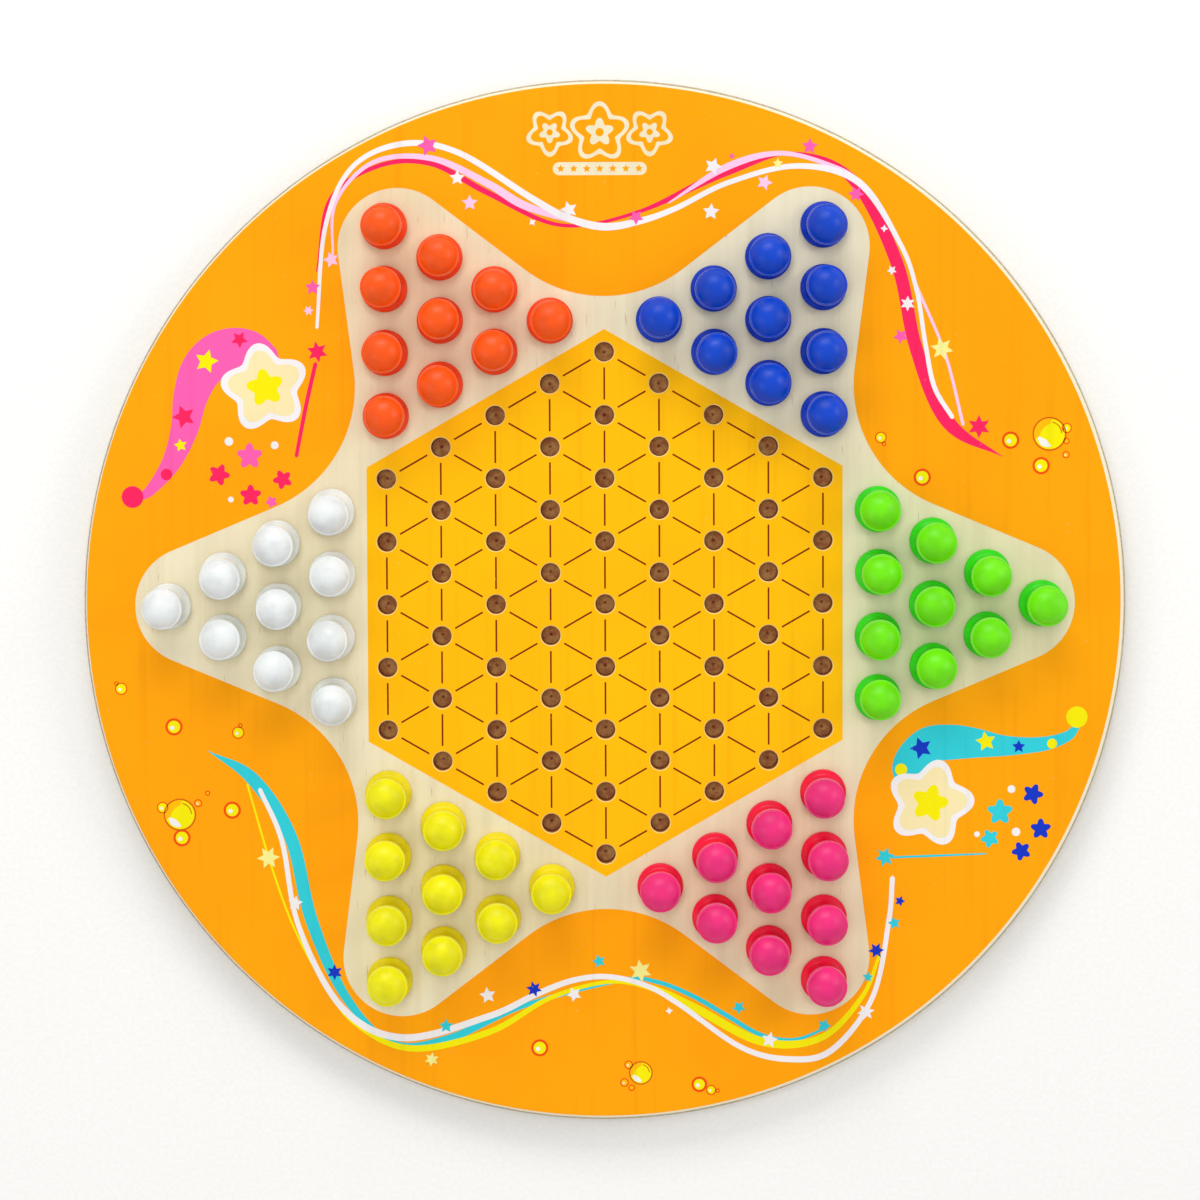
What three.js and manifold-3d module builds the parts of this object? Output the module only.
// A Chinese checkers board for six players: one round plywood board with 121 blind holes in a
// six-pointed star, and the turned wooden pegs that stand in its six home triangles.
// Millimetres, +Z up. The origin is the centre of the board's flat underside. +X runs through the
// tip of the green home, and each next home lies 60 degrees further round, counterclockwise.
import * as THREE from "three";
import { mergeVertices } from "three/addons/utils/BufferGeometryUtils.js";
import Module from "manifold-3d";

// Board
const BOARD_DIAMETER = 290;
const BOARD_THICKNESS = 9;
const EDGE_ROUNDING = 1.6;
const BOARD_SIDES = 96;

// Holes
const HOLE_PITCH = 17.5; // between the centres of neighbouring holes
const HOLE_DIAMETER = 5.5;
const HOLE_DEPTH = 6.5;
const HOLE_SIDES = 12;
const FIELD_STEPS = 4; // steps from the middle hole to a corner of the open hexagon
const HOME_ROWS = 4; // rows of 1, 2, 3 and 4 holes in each home triangle
const ROW_SPACING = HOLE_PITCH * Math.sin(Math.PI / 3);

// Pegs: heights are above the face of the board
const PIN_DIAMETER = 4.8;
const PIN_LENGTH = 6;
const COLLAR_DIAMETER = 12.8;
const COLLAR_THICKNESS = 2;
const NECK_DIAMETER = 7.6;
const NECK_MIDDLE = 6.6;
const HEAD_DIAMETER = 11.2;
const HEAD_UNDERSIDE = 10.4;
const HEAD_RIM = 12.8;
const PEG_HEIGHT = 15.8;
const PEG_SIDES = 12;

// The homes in order round the board, with the colour of the pegs that start there.
const HOMES = [
  { name: "green", paint: 0x58dc14 },
  { name: "blue", paint: 0x0f46cd },
  { name: "orange", paint: 0xfa5514 },
  { name: "white", paint: 0xe4e8e6 },
  { name: "yellow", paint: 0xf0eb00 },
  { name: "pink", paint: 0xf02d70 },
];
const EMPTY_HOLE = "peg_orange_1"; // this model holds 59 pegs, and the tip of the orange home is open

const wasm = await Module();
wasm.setup();

// A closed geometry as a manifold-3d solid.
function solidFrom(geometry) {
  const bare = geometry.clone();
  bare.deleteAttribute("normal");
  bare.deleteAttribute("uv");
  const merged = mergeVertices(bare, 1e-4);
  return new wasm.Manifold(
    new wasm.Mesh({
      numProp: 3,
      vertProperties: merged.attributes.position.array,
      triVerts: new Uint32Array(merged.index.array),
    }),
  );
}

// A manifold-3d solid as a geometry.
function geometryFrom(solid) {
  const mesh = solid.getMesh();
  return new THREE.BufferGeometry()
    .setAttribute("position", new THREE.BufferAttribute(mesh.vertProperties, 3))
    .setIndex(new THREE.BufferAttribute(mesh.triVerts, 1));
}

// A solid of revolution about +Z from [radius, height] points, listed from the bottom to the top.
function turned(profile, sides) {
  const points = profile.map(([radius, height]) => new THREE.Vector2(radius, height));
  return new THREE.LatheGeometry(points, sides).rotateX(Math.PI / 2);
}

// Hole centres of the open hexagon in the middle: columns along Y, one row spacing apart.
function fieldCentres() {
  const centres = [];
  for (let column = -FIELD_STEPS; column <= FIELD_STEPS; column++) {
    const holes = 2 * FIELD_STEPS + 1 - Math.abs(column);
    for (let i = 0; i < holes; i++) {
      centres.push([column * ROW_SPACING, (i - (holes - 1) / 2) * HOLE_PITCH]);
    }
  }
  return centres;
}

// Hole centres of one home triangle, from its tip inwards.
function homeCentres(index) {
  const turn = (index * Math.PI) / 3;
  const centres = [];
  for (let row = 0; row < HOME_ROWS; row++) {
    const out = (2 * FIELD_STEPS - row) * ROW_SPACING;
    for (let i = 0; i <= row; i++) {
      const across = (i - row / 2) * HOLE_PITCH;
      centres.push([
        out * Math.cos(turn) - across * Math.sin(turn),
        out * Math.sin(turn) + across * Math.cos(turn),
      ]);
    }
  }
  return centres;
}

// The board: a disc with both edges rounded over, and a flat-bottomed hole at every centre.
function boardGeometry() {
  const radius = BOARD_DIAMETER / 2;
  const slope = EDGE_ROUNDING * (1 - Math.SQRT1_2); // where a rounded edge is at 45 degrees
  let board = solidFrom(
    turned(
      [
        [0, 0],
        [radius - EDGE_ROUNDING, 0],
        [radius - slope, slope],
        [radius, EDGE_ROUNDING],
        [radius, BOARD_THICKNESS - EDGE_ROUNDING],
        [radius - slope, BOARD_THICKNESS - slope],
        [radius - EDGE_ROUNDING, BOARD_THICKNESS],
        [0, BOARD_THICKNESS],
      ],
      BOARD_SIDES,
    ),
  );
  const above = 2; // the cutter stands this far out of the face
  const cutter = new THREE.CylinderGeometry(
    HOLE_DIAMETER / 2,
    HOLE_DIAMETER / 2,
    HOLE_DEPTH + above,
    HOLE_SIDES,
  ).rotateX(Math.PI / 2);
  const middle = BOARD_THICKNESS + (above - HOLE_DEPTH) / 2;
  const centres = [...fieldCentres(), ...HOMES.flatMap((home, index) => homeCentres(index))];
  for (const [x, y] of centres) {
    board = board.subtract(solidFrom(cutter.clone().translate(x, y, middle)));
  }
  return geometryFrom(board);
}

// A peg, with the underside of its collar at height 0: pin, collar, waisted neck and domed head.
function pegGeometry() {
  const pin = PIN_DIAMETER / 2;
  const collar = COLLAR_DIAMETER / 2;
  const neck = NECK_DIAMETER / 2;
  const head = HEAD_DIAMETER / 2;
  const dome = PEG_HEIGHT - HEAD_RIM;
  return turned(
    [
      [0, -PIN_LENGTH],
      [pin, -PIN_LENGTH],
      [pin, 0],
      [collar, 0],
      [collar, COLLAR_THICKNESS],
      [neck, NECK_MIDDLE],
      [head, HEAD_UNDERSIDE],
      [head, HEAD_RIM],
      [head * Math.cos(Math.PI / 4), HEAD_RIM + dome * Math.sin(Math.PI / 4)],
      [0, PEG_HEIGHT],
    ],
    PEG_SIDES,
  );
}

function named(name, geometry, material) {
  const mesh = new THREE.Mesh(geometry, material);
  mesh.name = name;
  return mesh;
}

const group = new THREE.Group();

const wood = new THREE.MeshStandardMaterial({ color: 0xe8dec3, roughness: 0.65, metalness: 0 });
group.add(named("board", boardGeometry(), wood));

const peg = pegGeometry();
HOMES.forEach((home, index) => {
  const paint = new THREE.MeshStandardMaterial({ color: home.paint, roughness: 0.35, metalness: 0 });
  homeCentres(index).forEach(([x, y], i) => {
    const name = `peg_${home.name}_${i + 1}`;
    if (name === EMPTY_HOLE) return;
    const mesh = named(name, peg, paint);
    mesh.position.set(x, y, BOARD_THICKNESS);
    group.add(mesh);
  });
});

export default group;
